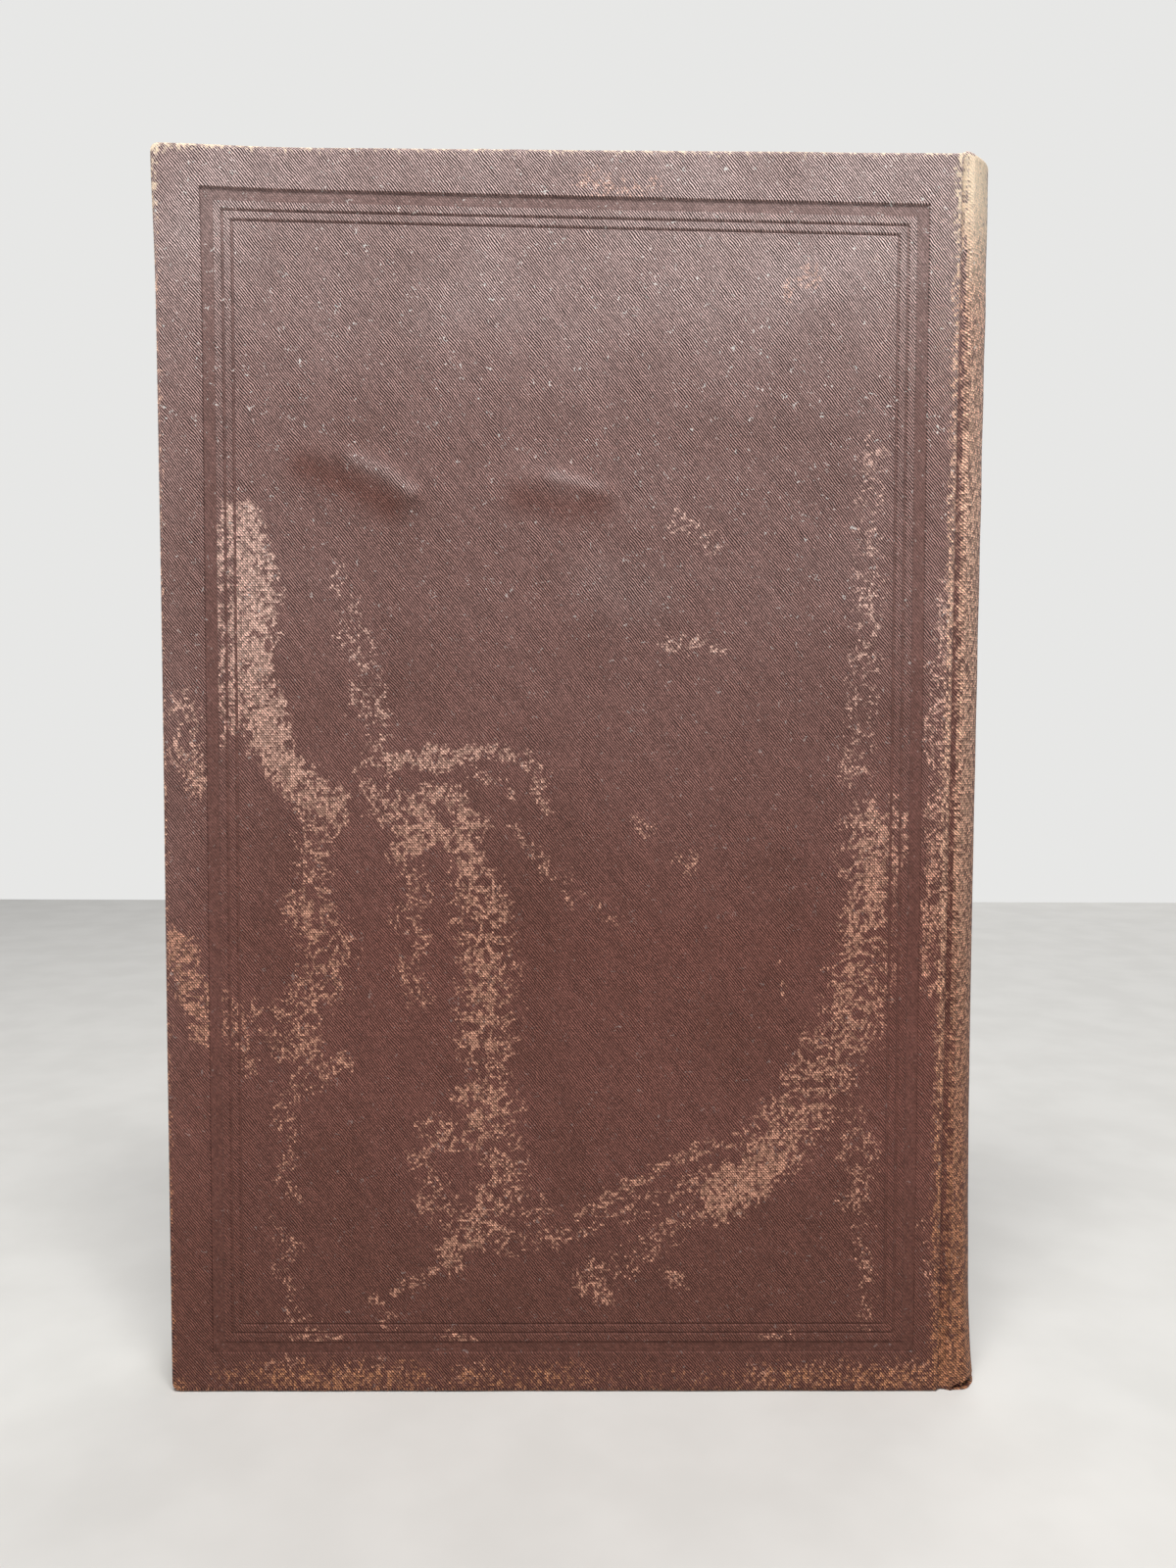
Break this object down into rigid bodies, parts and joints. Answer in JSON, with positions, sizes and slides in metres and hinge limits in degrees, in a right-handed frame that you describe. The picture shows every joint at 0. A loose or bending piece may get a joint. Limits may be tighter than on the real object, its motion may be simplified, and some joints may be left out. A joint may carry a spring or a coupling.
{
  "type": "hardback book",
  "caption": "Case-bound book in worn ribbed cloth with a blind-stamped frame, rounded spine, sewn text block and two hinged covers, standing on its tail.",
  "frame": {"origin": "centre of the book's box on the plane it stands on, at the tail edges of its covers", "axes": "+Z from tail to head, +X towards the spine, +Y towards the front cover; the back cover faces -Y"},
  "size_m": [0.1594, 0.02, 0.24],
  "materials": {
    "book_cloth": "diagonal-rib book cloth, worn",
    "board": "millboard",
    "pages": "aged uncoated paper",
    "endpaper": "aged smooth paper",
    "headband": "striped cotton",
    "tape": "woven linen tape",
    "mull": "open-weave starched cotton",
    "lining": "kraft paper",
    "card": "thin card"
  },
  "bodies": {
    "book_block": {"text_block": "pages", "front_endpaper": "endpaper", "back_endpaper": "endpaper", "head_band": "headband", "tail_band": "headband", "head_tape": "tape", "middle_tape": "tape", "tail_tape": "tape", "mull": "mull", "spine_lining": "lining", "spine_inlay": "card", "spine_cloth": "book_cloth"},
    "back_cover": {"back_board": "board", "back_cloth": "book_cloth", "back_mull_flange": "mull", "back_pastedown": "endpaper", "back_head_slip": "tape", "back_middle_slip": "tape", "back_tail_slip": "tape"},
    "front_cover": {"front_board": "board", "front_cloth": "book_cloth", "front_mull_flange": "mull", "front_pastedown": "endpaper", "front_head_slip": "tape", "front_middle_slip": "tape", "front_tail_slip": "tape"}
  },
  "joints": [
    {"name": "back_joint", "type": "hinge", "parent": "book_block", "child": "back_cover", "pos_m": [0.07294, -0.0097, 0.12], "axis": [0, 0, 1], "range_deg": [0, 180]},
    {"name": "front_joint", "type": "hinge", "parent": "book_block", "child": "front_cover", "pos_m": [0.07294, 0.0097, 0.12], "axis": [0, 0, -1], "range_deg": [0, 180]}
  ]
}
